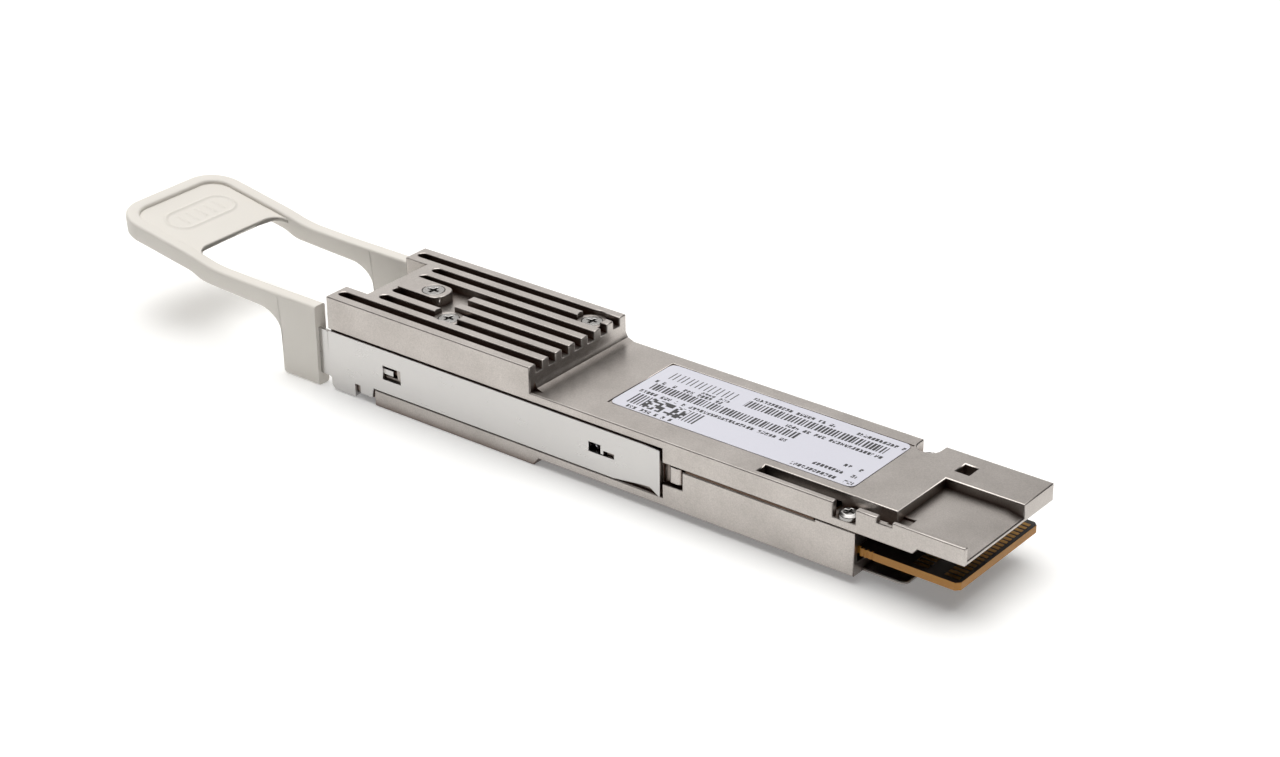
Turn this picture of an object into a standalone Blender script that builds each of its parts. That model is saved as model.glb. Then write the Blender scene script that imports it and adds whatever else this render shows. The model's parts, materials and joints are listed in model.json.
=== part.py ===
"""Double-density QSFP optical transceiver module with a nose heat sink and a pull-tab latch.

Lengths are in millimetres and are turned to metres when a mesh is made. The pieces are drawn
from the module's hard stop: x = 0 is the heat sink's rear face, +X is the way the module goes
into its cage, y = 0 is the centre plane, and z = 0 is the underside of the rear body. Two
empties carry the pieces, and put the whole module's origin at the middle of its base.
"""
import math

import bmesh
import bpy

MM = 0.001

# Driving dimensions of the housing
HALF_WIDTH = 9.175
BODY_TOP = 8.5
PARTING = 5.6
NOSE_FRONT = -32.9
NOSE_UNDERSIDE = -1.05
STRAP_RECESS_TOP = -0.3
STRAP_RECESS_END = -25.5
BODY_REAR = 46.3
TONGUE_END = 60.4
TONGUE_UNDERSIDE = 6.32
WALL_INSIDE = 8.05
RAIL_INSIDE = 6.9
RAIL_END = 13.0
ROOF_INSIDE = 7.2
FLOOR_INSIDE = 1.0
CAVITY_FRONT = -22.5
CAVITY_REAR = 45.3
BOSS_FRONT = 42.8
BOSS_INSIDE = 6.5

# Heat sink
FIN_TOP = 11.82
FIN_COUNT = 8
FIN_WIDTH = 1.25
GROOVE_FLOOR = 10.72
SHORT_GROOVE_START = -27.6
LONG_GROOVE_START = -32.2
NOTCH_REAR = -29.3
NOTCH_HALF_WIDTH = 5.48
PAD_TOP = 12.0
LAND_TOP = 11.25
LAND_RADIUS = 1.9

# Screws: x, y and the height of the top of the head
FRONT_SCREW = (-23.2, 0.0, PAD_TOP)
MIDDLE_SCREW = (-17.4, -3.75, LAND_TOP)
REAR_SCREW = (-2.9, 6.2, LAND_TOP)
SHELL_SCREW_X = 44.85
SHELL_SCREW_Y = 8.1
SHELL_SCREW_SEAT = 6.66
SHELL_SCREW_POCKET = 1.5

# Label, in its shallow recess
LABEL_X = (8.8, 43.2)
LABEL_Y = (-5.2, 7.15)
LABEL_RECESS = 0.12
LABEL_MARGIN = 0.12

# Latch slider and pull tab
SLIDER_OUTSIDE = 9.15
SLIDER_THICKNESS = 0.4
SLIDER_RECESS = 8.7
SLIDER_TOP = 7.34
SLIDER_BOTTOM = 1.17
SLIDER_REAR = 19.5
SLIDER_FRONT = -38.6
RUNNING_GAP = 0.05
TAB_HALF_WIDTH = 9.45
TAB_ARM = 1.85
LEG_REAR = -34.8
LEG_FRONT = -41.1
TAB_TIP = -71.5
TAB_OPENING = -58.1
PAD_SLOPE = 0.168

# Paddle card and optics
CARD_BOTTOM = 2.4
CARD_TOP = 3.4
CARD_FRONT = 0.4
CARD_REAR = 59.3
CARD_HALF_WIDTH = 8.3
PORT_PITCH = 6.25
PORT_WIDTH = 4.7
FERRULE_HEIGHT = 4.0

# The hard stop's place in the finished module's own frame
DATUM = (-(TAB_TIP + TONGUE_END) / 2 * MM, 0.0, -NOSE_UNDERSIDE * MM)


# ---------------------------------------------------------------- scene and helpers

for old in list(bpy.data.objects):
    bpy.data.objects.remove(old, do_unlink=True)

module = bpy.data.collections.new("optical_transceiver_module")
tools = bpy.data.collections.new("cutters")
bpy.context.scene.collection.children.link(module)
bpy.context.scene.collection.children.link(tools)


def empty(name):
    marker = bpy.data.objects.new(name, None)
    marker.location = DATUM
    marker.empty_display_size = 0.005
    module.objects.link(marker)
    return marker


housing = empty("housing_datum")
latch = empty("latch_slide_axis")


def material(name, colour, roughness, metallic):
    """A plain Principled material."""
    made = bpy.data.materials.new(name)
    made.use_nodes = True
    shader = made.node_tree.nodes["Principled BSDF"]
    shader.inputs["Base Color"].default_value = (*colour, 1.0)
    shader.inputs["Roughness"].default_value = roughness
    shader.inputs["Metallic"].default_value = metallic
    return made


CAST_ZINC = material("nickel_plated_zinc", (0.52, 0.50, 0.48), 0.35, 1.0)
SHEET_STEEL = material("stainless_sheet", (0.66, 0.65, 0.64), 0.28, 1.0)
SCREW_STEEL = material("plated_screw_steel", (0.70, 0.70, 0.72), 0.22, 1.0)
SPRING_STEEL = material("spring_wire", (0.45, 0.45, 0.47), 0.30, 1.0)
TAB_PLASTIC = material("tab_plastic", (0.86, 0.84, 0.80), 0.50, 0.0)
CARD_LAMINATE = material("card_laminate", (0.10, 0.06, 0.04), 0.45, 0.0)
CHIP_RESIN = material("chip_resin", (0.03, 0.03, 0.03), 0.55, 0.0)
GOLD_CAN = material("gold_can", (0.80, 0.60, 0.25), 0.30, 1.0)
PORT_PLASTIC = material("port_plastic", (0.05, 0.05, 0.06), 0.45, 0.0)
ZIRCONIA = material("zirconia", (0.90, 0.89, 0.86), 0.25, 0.0)
FIBRE_JACKET = material("fibre_jacket", (0.80, 0.66, 0.20), 0.45, 0.0)
POLYIMIDE = material("polyimide", (0.62, 0.30, 0.06), 0.35, 0.0)
GAP_PAD = material("thermal_gap_pad", (0.45, 0.50, 0.60), 0.80, 0.0)
GASKET = material("conductive_gasket", (0.35, 0.26, 0.18), 0.70, 0.0)
LABEL_FILM = material("label_film", (0.84, 0.84, 0.88), 0.45, 0.0)
FERRITE = material("ferrite", (0.20, 0.20, 0.21), 0.60, 0.0)
CERAMIC = material("capacitor_ceramic", (0.55, 0.42, 0.28), 0.45, 0.0)


def finish(name, mesh, finish_material, parent):
    """Puts a mesh in the scene under its empty, as a piece or, without a material, as a tool."""
    made = bpy.data.objects.new(name, mesh)
    if finish_material is None:
        tools.objects.link(made)
        made.hide_render = True
        made.display_type = "WIRE"
    else:
        mesh.materials.clear()
        mesh.materials.append(finish_material)
        module.objects.link(made)
    made.parent = parent
    return made


def mesh_from(name, work):
    mesh = bpy.data.meshes.new(name)
    bmesh.ops.recalc_face_normals(work, faces=work.faces)
    work.to_mesh(mesh)
    work.free()
    return mesh


def box(name, x, y, z, finish_material=None, parent=housing):
    """A block between two limits on each axis."""
    work = bmesh.new()
    bmesh.ops.create_cube(work, size=1.0)
    size = [(high - low) * MM for low, high in (x, y, z)]
    centre = [(high + low) / 2 * MM for low, high in (x, y, z)]
    bmesh.ops.scale(work, vec=size, verts=work.verts)
    bmesh.ops.translate(work, vec=centre, verts=work.verts)
    return finish(name, mesh_from(name, work), finish_material, parent)


def upright(name, x, y, z, radius, finish_material=None, sides=24):
    """A vertical cylinder between two heights."""
    work = bmesh.new()
    bmesh.ops.create_cone(
        work, cap_ends=True, segments=sides, radius1=radius * MM, radius2=radius * MM,
        depth=(z[1] - z[0]) * MM)
    bmesh.ops.translate(work, vec=(x * MM, y * MM, (z[0] + z[1]) / 2 * MM), verts=work.verts)
    return finish(name, mesh_from(name, work), finish_material, housing)


def prism(name, outline, axis, span, finish_material=None, parent=housing):
    """A flat outline carried along one axis. Outlines are (x, z) across Y or (x, y) along Z."""
    curve = bpy.data.curves.new(name, "CURVE")
    curve.dimensions = "2D"
    curve.fill_mode = "BOTH"
    curve.extrude = (span[1] - span[0]) / 2 * MM
    spline = curve.splines.new("POLY")
    spline.points.add(len(outline) - 1)
    for point, (u, v) in zip(spline.points, outline):
        point.co = (u * MM, v * MM, 0.0, 1.0)
    spline.use_cyclic_u = True
    drawn = bpy.data.objects.new(name + "_outline", curve)
    tools.objects.link(drawn)
    bpy.context.view_layer.update()
    seen = drawn.evaluated_get(bpy.context.evaluated_depsgraph_get())
    mesh = bpy.data.meshes.new_from_object(seen)
    bpy.data.objects.remove(drawn, do_unlink=True)

    work = bmesh.new()
    work.from_mesh(mesh)
    bmesh.ops.remove_doubles(work, verts=work.verts, dist=1e-6)
    middle = (span[0] + span[1]) / 2 * MM
    for vertex in work.verts:
        u, v, w = vertex.co
        vertex.co = (u, middle - w, v) if axis == "Y" else (u, v, middle + w)
    bmesh.ops.recalc_face_normals(work, faces=work.faces)
    work.to_mesh(mesh)
    work.free()
    mesh.name = name
    return finish(name, mesh, finish_material, parent)


def turned(name, place, profile, finish_material=None, steps=20):
    """A round piece about a vertical axis, from a profile of (radius, height), top to bottom."""
    mesh = bpy.data.meshes.new(name)
    points = [(radius * MM, 0.0, height * MM) for radius, height in profile]
    mesh.from_pydata(points, [(i, i + 1) for i in range(len(points) - 1)], [])
    made = finish(name, mesh, finish_material, housing)
    made.location = (place[0] * MM, place[1] * MM, 0.0)
    screw = made.modifiers.new("turn", "SCREW")
    screw.axis = "Z"
    screw.steps = steps
    screw.render_steps = steps
    screw.use_merge_vertices = True
    screw.merge_threshold = 1e-6
    return made


def change(target, tool, operation):
    step = target.modifiers.new(operation.lower(), "BOOLEAN")
    step.operation = operation
    step.solver = "EXACT"
    step.object = tool


def cut(target, tool):
    change(target, tool, "DIFFERENCE")


def join(target, tool):
    change(target, tool, "UNION")


def arc(x, y, radius, start, end, steps=6):
    """Points of a round stretch between two angles in degrees."""
    angles = [math.radians(start + (end - start) * i / steps) for i in range(steps + 1)]
    return [(x + radius * math.cos(a), y + radius * math.sin(a)) for a in angles]


def tube(name, points, radius, finish_material, sides_level=1):
    """A round wire along a route, as one smooth-jointed run with filled ends."""
    curve = bpy.data.curves.new(name, "CURVE")
    curve.dimensions = "3D"
    curve.bevel_depth = radius * MM
    curve.bevel_resolution = sides_level
    curve.use_fill_caps = True
    spline = curve.splines.new("POLY")
    spline.points.add(len(points) - 1)
    for point, (x, y, z) in zip(spline.points, points):
        point.co = (x * MM, y * MM, z * MM, 1.0)
    curve.materials.append(finish_material)
    made = bpy.data.objects.new(name, curve)
    module.objects.link(made)
    made.parent = housing
    return made


def smooth_route(stations, steps):
    """Points on a smooth curve through the stations (Catmull-Rom)."""
    ends = [stations[0]] + list(stations) + [stations[-1]]
    route = []
    for a, b, c, d in zip(ends, ends[1:], ends[2:], ends[3:]):
        for i in range(steps):
            t = i / steps
            weights = (-t + 2 * t**2 - t**3, 2 - 5 * t**2 + 3 * t**3,
                       t + 4 * t**2 - 3 * t**3, -t**2 + t**3)
            route.append(tuple(sum(w * p[k] for w, p in zip(weights, (a, b, c, d))) / 2
                               for k in range(3)))
    route.append(stations[-1])
    return route


# ---------------------------------------------------------------- screws

def machine_screw(name, place, head_radius, head_height, shank_radius, tip, countersunk):
    """A cross-recess screw. Returns the tool that opens its clearance hole."""
    x, y, top = place
    under = top - head_height
    if countersunk:
        head = [(0.0, top), (head_radius, top), (head_radius, top - 0.15), (shank_radius, under)]
    else:
        head = [(0.0, top), (head_radius * 0.7, top), (head_radius, top - head_height * 0.4),
                (head_radius, under), (shank_radius, under)]
    profile = head + [(shank_radius, tip), (0.0, tip)]
    screw = turned(name, (x, y), profile, SCREW_STEEL)
    arm, half = head_radius * 0.55, head_radius * 0.14
    depth = (top - head_height * 0.55, top + 1.0)
    cut(screw, box(name + "_slot_along", (x - arm, x + arm), (y - half, y + half), depth))
    cut(screw, box(name + "_slot_across", (x - half, x + half), (y - arm, y + arm), depth))
    gap = 0.06
    rim = head_radius + gap
    if countersunk:
        opening = [(0.0, top + 3.0), (rim, top + 3.0), (rim, top - 0.15),
                   (shank_radius + gap, under - gap)]
    else:
        opening = [(0.0, under), (shank_radius + gap, under)]
    opening += [(shank_radius + gap, tip - gap), (0.0, tip - gap)]
    return turned(name + "_hole", (x, y), opening)


front_hole = machine_screw("front_heat_sink_screw", FRONT_SCREW, 1.4, 0.9, 0.7, 3.2, True)
middle_hole = machine_screw("middle_heat_sink_screw", MIDDLE_SCREW, 1.3, 0.8, 0.7, 3.2, True)
rear_hole = machine_screw("rear_heat_sink_screw", REAR_SCREW, 1.3, 0.8, 0.7, 3.2, True)

shell_holes = []
for side, place_name in ((-1, "near"), (1, "far")):
    seat = (SHELL_SCREW_X, side * SHELL_SCREW_Y, SHELL_SCREW_SEAT + 0.72)
    shell_holes.append(
        machine_screw(place_name + "_shell_screw", seat, 1.2, 0.7, 0.5, 4.0, False))


# ---------------------------------------------------------------- top shell with heat sink

top_shell = prism("top_shell", [
    (NOSE_FRONT, PARTING), (53.8, PARTING), (54.4, TONGUE_UNDERSIDE), (TONGUE_END, TONGUE_UNDERSIDE),
    (TONGUE_END, BODY_TOP), (1.3, BODY_TOP), (0.35, BODY_TOP + 0.35), (0.0, BODY_TOP + 1.1),
    (0.0, FIN_TOP), (NOSE_FRONT, FIN_TOP)], "Y", (-HALF_WIDTH, HALF_WIDTH), CAST_ZINC)

# The inside: the main room, the rails beside the springs, the receptacle's room, the rear bosses
cut(top_shell, box("roof_room", (RAIL_END, BOSS_FRONT), (-WALL_INSIDE, WALL_INSIDE),
                   (4.0, ROOF_INSIDE)))
cut(top_shell, box("roof_rail_room", (CAVITY_FRONT, RAIL_END + 0.5), (-RAIL_INSIDE, RAIL_INSIDE),
                   (4.0, ROOF_INSIDE)))
cut(top_shell, box("roof_rear_room", (BOSS_FRONT - 0.5, CAVITY_REAR), (-BOSS_INSIDE, BOSS_INSIDE),
                   (4.0, ROOF_INSIDE)))
cut(top_shell, box("roof_nose_room", (NOSE_FRONT - 1, CAVITY_FRONT + 0.5), (-6.75, 6.75),
                   (4.0, 7.38)))
join(top_shell, box("processor_pedestal", (13.0, 25.0), (-5.6, 5.6), (PARTING, ROOF_INSIDE + 0.3)))

# Latch recess along both sides, with the screw pockets at the rear
for side in (-1, 1):
    outer = sorted((side * SLIDER_RECESS, side * 12.0))
    cut(top_shell, box(f"slider_recess_{side}", (NOSE_FRONT - 1, SLIDER_REAR + 0.2), outer,
                       (4.0, SLIDER_TOP + RUNNING_GAP)))
    centre = side * SHELL_SCREW_Y
    cut(top_shell, upright(f"screw_pocket_{side}", SHELL_SCREW_X, centre,
                           (SHELL_SCREW_SEAT, 10.0), SHELL_SCREW_POCKET))
    cut(top_shell, box(f"screw_pocket_mouth_{side}",
                       (SHELL_SCREW_X - SHELL_SCREW_POCKET, SHELL_SCREW_X + SHELL_SCREW_POCKET),
                       sorted((centre, side * 12.0)), (SHELL_SCREW_SEAT, 10.0)))

# Front notch over the fibre ports, and the foot of the heat sink's rear face
cut(top_shell, box("port_notch", (NOSE_FRONT - 1, NOTCH_REAR),
                   (-NOTCH_HALF_WIDTH, NOTCH_HALF_WIDTH), (BODY_TOP, 13.0)))
cut(top_shell, box("foot_trim", (0.0, 2.0), (-12.0, -8.2), (BODY_TOP, 10.5)))

# Grooves between the fins
pitch = FIN_WIDTH + (2 * HALF_WIDTH - FIN_COUNT * FIN_WIDTH) / (FIN_COUNT - 1)
for number in range(FIN_COUNT - 1):
    low = -HALF_WIDTH + number * pitch + FIN_WIDTH
    high = -HALF_WIDTH + (number + 1) * pitch
    outermost = number in (0, FIN_COUNT - 2)
    start = LONG_GROOVE_START if outermost else SHORT_GROOVE_START
    radius = (high - low) / 2
    end = arc(start + radius, low + radius, radius, 90, 270)
    cut(top_shell, prism(f"groove_{number}", end + [(1.0, low), (1.0, high)], "Z",
                         (GROOVE_FLOOR, 13.0)))

# Sunk court around the front screw's pad, and the pad itself
court = 1.5 * pitch - FIN_WIDTH / 2
cut(top_shell, box("pad_court", (SHORT_GROOVE_START + 0.6, -18.2), (-court, court),
                   (GROOVE_FLOOR, 13.0)))
pad = (arc(-22.4, -0.35, 1.5, -90, 0) + arc(-22.4, 0.35, 1.5, 0, 90)
       + [(SHORT_GROOVE_START, 1.85), (SHORT_GROOVE_START, -1.85)])
join(top_shell, prism("screw_pad", pad, "Z", (GROOVE_FLOOR - 0.5, PAD_TOP)))
for name, (x, y, height) in (("middle_land", MIDDLE_SCREW), ("rear_land", REAR_SCREW)):
    join(top_shell, upright(name, x, y, (GROOVE_FLOOR - 0.5, height), LAND_RADIUS))
    cut(top_shell, upright(name + "_bore", x, y, (height, 13.0), LAND_RADIUS))
for hole in (front_hole, middle_hole, rear_hole, *shell_holes):
    cut(top_shell, hole)

# Side channel, its open wall, the finger recess with a lead-in, the key hole, the label recess
cut(top_shell, box("side_channel", (32.5, 50.9), (-8.35, -6.65), (SHELL_SCREW_SEAT, 10.0)))
cut(top_shell, box("channel_window", (49.1, 51.1), (-12.0, -8.0), (7.9, 10.0)))
cut(top_shell, prism("finger_recess", [
    (50.25, 7.3), (58.4, 7.3), (TONGUE_END + 1.0, 6.52), (TONGUE_END + 1.0, 10.0),
    (50.25, 10.0)], "Y", (-8.6, 2.94)))
cut(top_shell, box("recess_corner", (50.25, 51.7), (-8.35, -5.3), (7.0, 10.0)))
cut(top_shell, box("key_hole", (50.2, 52.0), (4.95, 7.05), (4.0, 10.0)))
cut(top_shell, box("label_recess", (LABEL_X[0] - LABEL_MARGIN, LABEL_X[1] + LABEL_MARGIN),
                   (LABEL_Y[0] - LABEL_MARGIN, LABEL_Y[1] + LABEL_MARGIN),
                   (BODY_TOP - LABEL_RECESS, 10.0)))


# ---------------------------------------------------------------- bottom shell

bottom_shell = prism("bottom_shell", [
    (NOSE_FRONT, STRAP_RECESS_TOP), (STRAP_RECESS_END, STRAP_RECESS_TOP),
    (STRAP_RECESS_END, NOSE_UNDERSIDE), (0.3, NOSE_UNDERSIDE), (1.1, 0.0), (BODY_REAR, 0.0),
    (BODY_REAR, PARTING - RUNNING_GAP), (NOSE_FRONT, PARTING - RUNNING_GAP)],
    "Y", (-HALF_WIDTH, HALF_WIDTH), CAST_ZINC)
cut(bottom_shell, box("floor_room", (RAIL_END, BOSS_FRONT), (-WALL_INSIDE, WALL_INSIDE),
                      (FLOOR_INSIDE, 8.0)))
cut(bottom_shell, box("floor_rail_room", (CAVITY_FRONT, RAIL_END + 0.5),
                      (-RAIL_INSIDE, RAIL_INSIDE), (FLOOR_INSIDE, 8.0)))
cut(bottom_shell, box("floor_rear_room", (BOSS_FRONT - 0.5, BODY_REAR + 1.0),
                      (-BOSS_INSIDE, BOSS_INSIDE), (1.6, 8.0)))
cut(bottom_shell, box("card_mouth", (BOSS_FRONT - 0.5, BODY_REAR + 1.0),
                      (-CARD_HALF_WIDTH - 0.1, CARD_HALF_WIDTH + 0.1), (1.6, CARD_TOP + 0.1)))
cut(bottom_shell, box("floor_nose_room", (NOSE_FRONT - 1, CAVITY_FRONT + 0.5), (-6.75, 6.75),
                      (0.72, 8.0)))

# Card ledges, screw posts and the thin rear lip under the card
for side in (-1, 1):
    join(bottom_shell, box(f"card_ledge_{side}", (14.0, 42.0),
                           sorted((side * 7.2, side * (WALL_INSIDE + 0.3))),
                           (FLOOR_INSIDE - 0.3, CARD_BOTTOM - RUNNING_GAP)))
for name, (x, y, _) in (("front", FRONT_SCREW), ("middle", MIDDLE_SCREW), ("rear", REAR_SCREW)):
    join(bottom_shell, upright(name + "_post", x, y, (0.4, PARTING - 0.1), 1.3))
lip = arc(51.0, -6.4, 1.0, -90, 0) + arc(51.0, 6.4, 1.0, 0, 90) + [(45.0, 7.4), (45.0, -7.4)]
join(bottom_shell, prism("rear_lip", lip, "Z", (0.02, 0.38)))
for hole in (front_hole, middle_hole, rear_hole, *shell_holes):
    cut(bottom_shell, hole)

for side in (-1, 1):
    outer = sorted((side * SLIDER_RECESS, side * 12.0))
    cut(bottom_shell, box(f"slider_bay_{side}", (NOSE_FRONT - 1, SLIDER_REAR + 0.2), outer,
                          (SLIDER_BOTTOM - 0.06, 8.0)))
    cut(bottom_shell, box(f"slider_toe_bay_{side}", (NOSE_FRONT - 1, STRAP_RECESS_END + 0.05),
                          outer, (-3.0, 8.0)))
    cut(bottom_shell, box(f"latch_pocket_{side}", (SLIDER_REAR, 22.6),
                          sorted((side * 8.45, side * 12.0)), (2.9, 8.0)))
    cut(bottom_shell, box(f"gasket_seat_{side}", (22.4, 41.0),
                          sorted((side * 8.75, side * 12.0)), (5.3, 8.0)))
    cut(bottom_shell, box(f"spring_channel_{side}", (-1.0, 11.2),
                          sorted((side * 7.15, side * 12.0)), (3.45, 5.15)))
    cut(bottom_shell, box(f"stop_slot_{side}", (-26.8, -21.9),
                          sorted((side * 8.2, side * 12.0)), (3.5, 4.6)))
    post = [(20.5, 8.2)] + arc(21.1, 8.5, 0.6, 180, 90) + arc(21.85, 8.5, 0.6, 90, 0) + [(22.45, 8.2)]
    join(bottom_shell, prism(f"latch_post_{side}", [(x, side * y) for x, y in post], "Z",
                             (3.35, 5.5)))


# ---------------------------------------------------------------- latch slider

def slider_plate(name, side):
    """One side plate, with a toe for the strap and a rear end kicked outwards."""
    outline = [
        (SLIDER_FRONT, 0.6), (-32.8, 0.6), (-32.8, -0.3), (-32.3, -0.9), (-28.8, -0.9),
        (-28.8, 0.9), (-27.9, 0.9), (-27.9, -0.15), (-25.9, -0.15), (-25.6, SLIDER_BOTTOM),
        (12.4, SLIDER_BOTTOM), (17.9, 1.85), (SLIDER_REAR, 1.05), (SLIDER_REAR, SLIDER_TOP),
        (-32.8, SLIDER_TOP), (-33.2, 6.9), (SLIDER_FRONT, 6.9)]
    inner = SLIDER_OUTSIDE - SLIDER_THICKNESS
    plate = prism(name, outline, "Y", sorted((side * inner, side * SLIDER_OUTSIDE)),
                  SHEET_STEEL if side < 0 else None, latch)
    work = bmesh.new()
    work.from_mesh(plate.data)
    bend = 17.0 * MM
    bmesh.ops.bisect_plane(work, geom=work.verts[:] + work.edges[:] + work.faces[:],
                           plane_co=(bend, 0, 0), plane_no=(1, 0, 0))
    for vertex in work.verts:
        vertex.co.y += side * 0.1 * max(0.0, vertex.co.x - bend)
    work.to_mesh(plate.data)
    work.free()
    return plate


latch_slider = slider_plate("latch_slider", -1)
join(latch_slider, slider_plate("far_plate", 1))
join(latch_slider, box("strap", (-32.2, -28.85), (-SLIDER_OUTSIDE + 0.05, SLIDER_OUTSIDE - 0.05),
                       (-0.89, -0.5), parent=latch))
WINDOWS = (
    ("stop_window", (-23.9, -20.95), (3.05, 4.9)),
    ("spring_window", (8.8, 10.75), (3.66, 4.9)),
    ("spring_window_tail", (10.7, 12.6), (3.66, 4.3)),
)
for name, x, z in WINDOWS:
    cut(latch_slider, box(name, x, (-12.0, 12.0), z, parent=latch))
for side in (-1, 1):
    join(latch_slider, box(f"stop_tab_{side}", (-24.2, -22.35),
                           sorted((side * 8.5, side * (SLIDER_OUTSIDE - 0.25))), (3.7, 4.45),
                           parent=latch))
    join(latch_slider, box(f"spring_tab_{side}", (10.5, 10.95),
                           sorted((side * 7.4, side * (SLIDER_OUTSIDE - 0.1))), (3.7, 4.88),
                           parent=latch))


# ---------------------------------------------------------------- pull tab

def pad_top(x):
    """Height of the grip's top face, which climbs towards the tip."""
    return 11.0 + PAD_SLOPE * (-57.3 - x)


tab_side = [
    (LEG_REAR, NOSE_UNDERSIDE), (LEG_FRONT, NOSE_UNDERSIDE), (LEG_FRONT, 5.0), (-41.7, 6.2),
    (-42.7, 7.0), (-44.2, 7.35), (-54.6, 7.65), (-55.6, 8.1), (-56.6, 8.5),
    (TAB_TIP, pad_top(TAB_TIP) - 2.5), (TAB_TIP, pad_top(TAB_TIP)), (-57.3, pad_top(-57.3)),
    (-55.6, 10.7), (-54.2, 10.25), (-52.0, 10.0), (-46.0, 9.87), (LEG_REAR, 9.87)]
pull_tab = prism("pull_tab", tab_side, "Y", (-TAB_HALF_WIDTH, TAB_HALF_WIDTH), TAB_PLASTIC, latch)
corner = 4.6
tab_plan = (arc(TAB_TIP + corner, -TAB_HALF_WIDTH + corner, corner, 270, 180)
            + arc(TAB_TIP + corner, TAB_HALF_WIDTH - corner, corner, 180, 90)
            + [(-30.0, TAB_HALF_WIDTH), (-30.0, -TAB_HALF_WIDTH)])
change(pull_tab, prism("tab_plan", tab_plan, "Z", (-5.0, 20.0), parent=latch), "INTERSECT")
inside = TAB_HALF_WIDTH - TAB_ARM
reach = 2.4
opening = (arc(TAB_OPENING + reach, -inside + reach, reach, 270, 180)
           + arc(TAB_OPENING + reach, inside - reach, reach, 180, 90)
           + [(-30.0, inside), (-30.0, -inside)])
cut(pull_tab, prism("finger_opening", opening, "Z", (-5.0, 20.0), parent=latch))
panel_front, panel_depth = TAB_TIP + 2.2, 0.5
cut(pull_tab, prism("grip_panel", [
    (panel_front, pad_top(panel_front) - panel_depth), (-50.0, pad_top(-50.0) - panel_depth),
    (-50.0, 16.0), (panel_front, 16.0)], "Y", (-inside, inside), parent=latch))
web = panel_depth + 0.8
cut(pull_tab, prism("grip_underside", [
    (panel_front, 5.0), (-50.0, 5.0), (-50.0, pad_top(-50.0) - web),
    (panel_front, pad_top(panel_front) - web)], "Y", (-inside, inside), parent=latch))
for side in (-1, 1):
    slot = sorted((side * (SLIDER_OUTSIDE - SLIDER_THICKNESS - 0.03),
                   side * (SLIDER_OUTSIDE + 0.03)))
    cut(pull_tab, box(f"plate_slot_{side}", (SLIDER_FRONT - 0.05, -30.0), slot, (0.55, 6.95),
                      parent=latch))


# ---------------------------------------------------------------- return springs

WIRE = 0.14
COIL = 0.5
TURNS = 8
POINTS_PER_TURN = 8
for side, place_name in ((-1, "near"), (1, "far")):
    route = []
    count = TURNS * POINTS_PER_TURN
    for i in range(count + 1):
        angle = 2 * math.pi * i / POINTS_PER_TURN
        route.append((-0.75 + 10.85 * i / count, side * 7.9 + COIL * math.cos(angle),
                      4.3 + COIL * math.sin(angle)))
    tube(place_name + "_return_spring", route, WIRE, SPRING_STEEL)


# ---------------------------------------------------------------- paddle card and its parts

card = [(CARD_FRONT, -6.6), (13.6, -6.6), (13.6, -7.9), (46.5, -7.9), (46.5, -CARD_HALF_WIDTH),
        (CARD_REAR - 0.5, -CARD_HALF_WIDTH), (CARD_REAR, -CARD_HALF_WIDTH + 0.5)]
card += [(x, -y) for x, y in reversed(card)]
paddle_card = prism("paddle_card", card, "Z", (CARD_BOTTOM, CARD_TOP), CARD_LAMINATE)
for side in (-1, 1):
    for x in (46.9, 47.5, 48.1):
        cut(paddle_card, upright(f"edge_bite_{side}_{x}", x, side * (CARD_HALF_WIDTH + 0.08),
                                 (0.0, 6.0), 0.2, sides=8))

ON_CARD = CARD_TOP + RUNNING_GAP
CHIPS = (
    ("signal_processor", (12.5, 25.5), (-6.2, 6.2), 1.5, CHIP_RESIN),
    ("microcontroller", (29.0, 34.0), (-6.0, -1.0), 0.9, CHIP_RESIN),
    ("power_regulator", (29.0, 33.0), (1.5, 5.5), 1.0, CHIP_RESIN),
    ("clock_oscillator", (6.0, 9.2), (2.6, 5.1), 0.9, GOLD_CAN),
    ("modulator_driver", (5.6, 9.6), (-4.8, -0.8), 0.9, CHIP_RESIN),
)
for name, x, y, height, finish_material in CHIPS:
    box(name, x, y, (ON_CARD, ON_CARD + height), finish_material)
for number, y in enumerate((-5.4, -1.4, 2.6), start=1):
    box(f"power_inductor_{number}", (36.0, 38.8), (y, y + 2.8), (ON_CARD, ON_CARD + 1.8), FERRITE)
for number, y in enumerate((-5.2, -2.2, 0.8, 3.8), start=1):
    box(f"bulk_capacitor_{number}", (40.6, 41.9), (y, y + 2.4), (ON_CARD, ON_CARD + 1.3), CERAMIC)
box("processor_thermal_pad", (13.4, 24.6), (-5.2, 5.2),
    (ON_CARD + 1.5 + RUNNING_GAP, PARTING - RUNNING_GAP), GAP_PAD)


# ---------------------------------------------------------------- optics

OPTICS_REAR = -5.0
OPTICS_FRONT = -14.5
OPTICS_TOP = 6.4
box("coherent_optics_assembly", (OPTICS_FRONT, OPTICS_REAR), (-6.5, 2.4), (1.4, OPTICS_TOP),
    GOLD_CAN)
box("tunable_laser", (OPTICS_FRONT, OPTICS_REAR), (3.0, 6.5), (1.4, OPTICS_TOP), GOLD_CAN)
pad_span = (OPTICS_TOP + RUNNING_GAP, ROOF_INSIDE - RUNNING_GAP)
box("optics_thermal_pad", (-13.6, -6.0), (-5.6, 1.6), pad_span, GAP_PAD)
box("laser_thermal_pad", (-13.6, -6.0), (3.4, 6.1), pad_span, GAP_PAD)
flex = [(OPTICS_REAR + 0.05, 4.2), (-3.4, 4.2), (-1.2, ON_CARD), (3.0, ON_CARD),
        (3.0, ON_CARD + 0.15), (-1.1, ON_CARD + 0.15), (-3.3, 4.35), (OPTICS_REAR + 0.05, 4.35)]
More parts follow.
